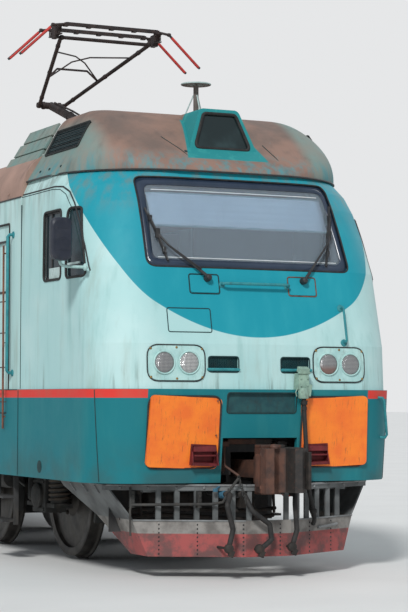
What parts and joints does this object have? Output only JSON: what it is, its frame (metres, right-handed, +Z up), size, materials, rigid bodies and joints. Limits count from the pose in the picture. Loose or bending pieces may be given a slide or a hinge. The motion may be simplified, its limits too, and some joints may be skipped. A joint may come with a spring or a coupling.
{
  "type": "electric locomotive",
  "caption": "Two-cab electric locomotive with six driven axles on two bogies, roof collectors, claw couplers, ploughs and hinged side doors.",
  "frame": {"origin": "middle of the plan on the floor under the wheels' flange tips", "axes": "+Z up, +Y along the track towards the rear cab, +X to the right seen from in front of the front cab"},
  "size_m": [3.82, 18.89, 5.7273],
  "materials": {
    "cab_paint": "weathered pale aqua and turquoise paint",
    "side_paint": "weathered pale aqua paint over a dark teal band",
    "band_paint": "weathered dark teal paint with a red stripe",
    "roof_paint": "dusty brown over teal paint",
    "screen_paint": "dusty teal paint",
    "orange_paint": "weathered orange paint",
    "maroon_paint": "chipped maroon paint",
    "plough_paint": "grey paint over a red lower plate",
    "frame_paint": "dirty black paint",
    "tint_glass": "tinted laminated glass",
    "lamp_plate": "worn pale paint",
    "lamp_glass": "ribbed lens",
    "coupler_steel": "brown cast steel",
    "wheel_steel": "rusty forged steel with bright treads",
    "bogie_steel": "dusty cast steel",
    "rubber": "matt black rubber",
    "rail_paint": "worn pale paint",
    "black_trim": "matt black",
    "cab_lining": "pale lining",
    "desk_plastic": "dark moulded plastic",
    "seat_fabric": "woven seat cloth",
    "machine_paint": "plain grey paint",
    "collector_paint": "dark paint with worn edges",
    "ceramic": "glazed brown insulators"
  },
  "bodies": {
    "body": {"apron_front": "band_paint", "apron_rear": "band_paint", "bogie_pads": "bogie_steel", "brake_hoses": "rubber", "cab_bulkheads": "cab_lining", "cab_shell_front": "cab_paint", "cab_shell_rear": "cab_paint", "couplers": "coupler_steel", "driver_desks": "desk_plastic", "driver_seats": "seat_fabric", "end_beams": "frame_paint", "end_panels": "orange_paint", "entry_steps": "frame_paint", "handrails": "rail_paint", "jumper_cables": "rubber", "lamp_plates": "lamp_plate", "lamps": "lamp_glass", "machine_block": "machine_paint", "main_roof": "roof_paint", "mirrors": "black_trim", "pantograph_bases": "collector_paint", "ploughs": "plough_paint", "roof_equipment": "ceramic", "roof_hoods": "roof_paint", "roof_screens": "screen_paint", "side_glass": "tint_glass", "side_grilles": "side_paint", "side_sills": "frame_paint", "side_wall_left": "side_paint", "side_wall_right": "side_paint", "step_boxes": "maroon_paint", "underfloor_boxes": "frame_paint", "underframe": "frame_paint", "windscreens": "tint_glass", "wipers": "black_trim"},
    "bogie_front": {"axleboxes_front": "bogie_steel", "bogie_frame_front": "bogie_steel", "brake_gear_front": "bogie_steel", "traction_motors_front": "bogie_steel"},
    "bogie_rear": {"axleboxes_rear": "bogie_steel", "bogie_frame_rear": "bogie_steel", "brake_gear_rear": "bogie_steel", "traction_motors_rear": "bogie_steel"},
    "front_left_door": {"door_front_left": "side_paint"},
    "front_right_door": {"door_front_right": "side_paint"},
    "rear_left_door": {"door_rear_left": "side_paint"},
    "rear_right_door": {"door_rear_right": "side_paint"},
    "collector_head_front": {"pantograph_head_front": "collector_paint"},
    "collector_head_rear": {"pantograph_head_rear": "collector_paint"},
    "collector_lower_front": {"pantograph_lower_front": "collector_paint"},
    "collector_lower_rear": {"pantograph_lower_rear": "collector_paint"},
    "collector_upper_front": {"pantograph_upper_front": "collector_paint"},
    "collector_upper_rear": {"pantograph_upper_rear": "collector_paint"},
    "axle_1": {"wheelset_1": "wheel_steel"},
    "axle_2": {"wheelset_2": "wheel_steel"},
    "axle_3": {"wheelset_3": "wheel_steel"},
    "axle_4": {"wheelset_4": "wheel_steel"},
    "axle_5": {"wheelset_5": "wheel_steel"},
    "axle_6": {"wheelset_6": "wheel_steel"}
  },
  "joints": [
    {"name": "bogie_front_pivot", "type": "hinge", "parent": "body", "child": "bogie_front", "pos_m": [0, -4, 1.1], "axis": [0, 0, 1], "range_deg": [-3, 3]},
    {"name": "bogie_rear_pivot", "type": "hinge", "parent": "body", "child": "bogie_rear", "pos_m": [0, 4, 1.1], "axis": [0, 0, 1], "range_deg": [-3, 3]},
    {"name": "wheelset_1_spin", "type": "hinge", "parent": "bogie_front", "child": "axle_1", "pos_m": [0, -6.3, 0.655], "axis": [1, 0, 0], "continuous": true},
    {"name": "wheelset_2_spin", "type": "hinge", "parent": "bogie_front", "child": "axle_2", "pos_m": [0, -4, 0.655], "axis": [1, 0, 0], "continuous": true},
    {"name": "wheelset_3_spin", "type": "hinge", "parent": "bogie_front", "child": "axle_3", "pos_m": [0, -1.7, 0.655], "axis": [1, 0, 0], "continuous": true},
    {"name": "wheelset_4_spin", "type": "hinge", "parent": "bogie_rear", "child": "axle_4", "pos_m": [0, 1.7, 0.655], "axis": [1, 0, 0], "continuous": true},
    {"name": "wheelset_5_spin", "type": "hinge", "parent": "bogie_rear", "child": "axle_5", "pos_m": [0, 4, 0.655], "axis": [1, 0, 0], "continuous": true},
    {"name": "wheelset_6_spin", "type": "hinge", "parent": "bogie_rear", "child": "axle_6", "pos_m": [0, 6.3, 0.655], "axis": [1, 0, 0], "continuous": true},
    {"name": "door_front_left_hinge", "type": "hinge", "parent": "body", "child": "front_left_door", "pos_m": [-1.493, -5.697, 2.44], "axis": [0, 0, 1], "range_deg": [0, 95]},
    {"name": "door_front_right_hinge", "type": "hinge", "parent": "body", "child": "front_right_door", "pos_m": [1.493, -5.697, 2.44], "axis": [0, 0, -1], "range_deg": [0, 95]},
    {"name": "door_rear_left_hinge", "type": "hinge", "parent": "body", "child": "rear_left_door", "pos_m": [-1.493, 5.697, 2.44], "axis": [0, 0, -1], "range_deg": [0, 95]},
    {"name": "door_rear_right_hinge", "type": "hinge", "parent": "body", "child": "rear_right_door", "pos_m": [1.493, 5.697, 2.44], "axis": [0, 0, 1], "range_deg": [0, 95]},
    {"name": "pantograph_front_raise", "type": "hinge", "parent": "body", "child": "collector_lower_front", "pos_m": [0, -4.75, 4.65], "axis": [1, 0, 0], "range_deg": [-19.9, 30]},
    {"name": "pantograph_front_knee", "type": "hinge", "parent": "collector_lower_front", "child": "collector_upper_front", "pos_m": [0, -3.39975, 5.09917], "axis": [1, 0, 0], "range_deg": [-52.21, 34.7]},
    {"name": "pantograph_front_head", "type": "hinge", "parent": "collector_upper_front", "child": "collector_head_front", "pos_m": [0, -5.07394, 5.59827], "axis": [1, 0, 0], "range_deg": [-14.8, 22.21]},
    {"name": "pantograph_rear_raise", "type": "hinge", "parent": "body", "child": "collector_lower_rear", "pos_m": [0, 4.75, 4.65], "axis": [-1, 0, 0], "range_deg": [0, 49.9]},
    {"name": "pantograph_rear_knee", "type": "hinge", "parent": "collector_lower_rear", "child": "collector_upper_rear", "pos_m": [0, 3.32749, 4.61275], "axis": [-1, 0, 0], "range_deg": [-86.71, 0]},
    {"name": "pantograph_rear_head", "type": "hinge", "parent": "collector_upper_rear", "child": "collector_head_rear", "pos_m": [0, 5.07342, 4.67372], "axis": [-1, 0, 0], "range_deg": [0, 36.81]}
  ],
  "couplings": [
    {"joint": "pantograph_front_knee", "follows": "pantograph_front_raise", "ratio": -1.7337},
    {"joint": "pantograph_front_head", "follows": "pantograph_front_raise", "ratio": 0.7337},
    {"joint": "pantograph_rear_knee", "follows": "pantograph_rear_raise", "ratio": -1.7337},
    {"joint": "pantograph_rear_head", "follows": "pantograph_rear_raise", "ratio": 0.7337}
  ]
}
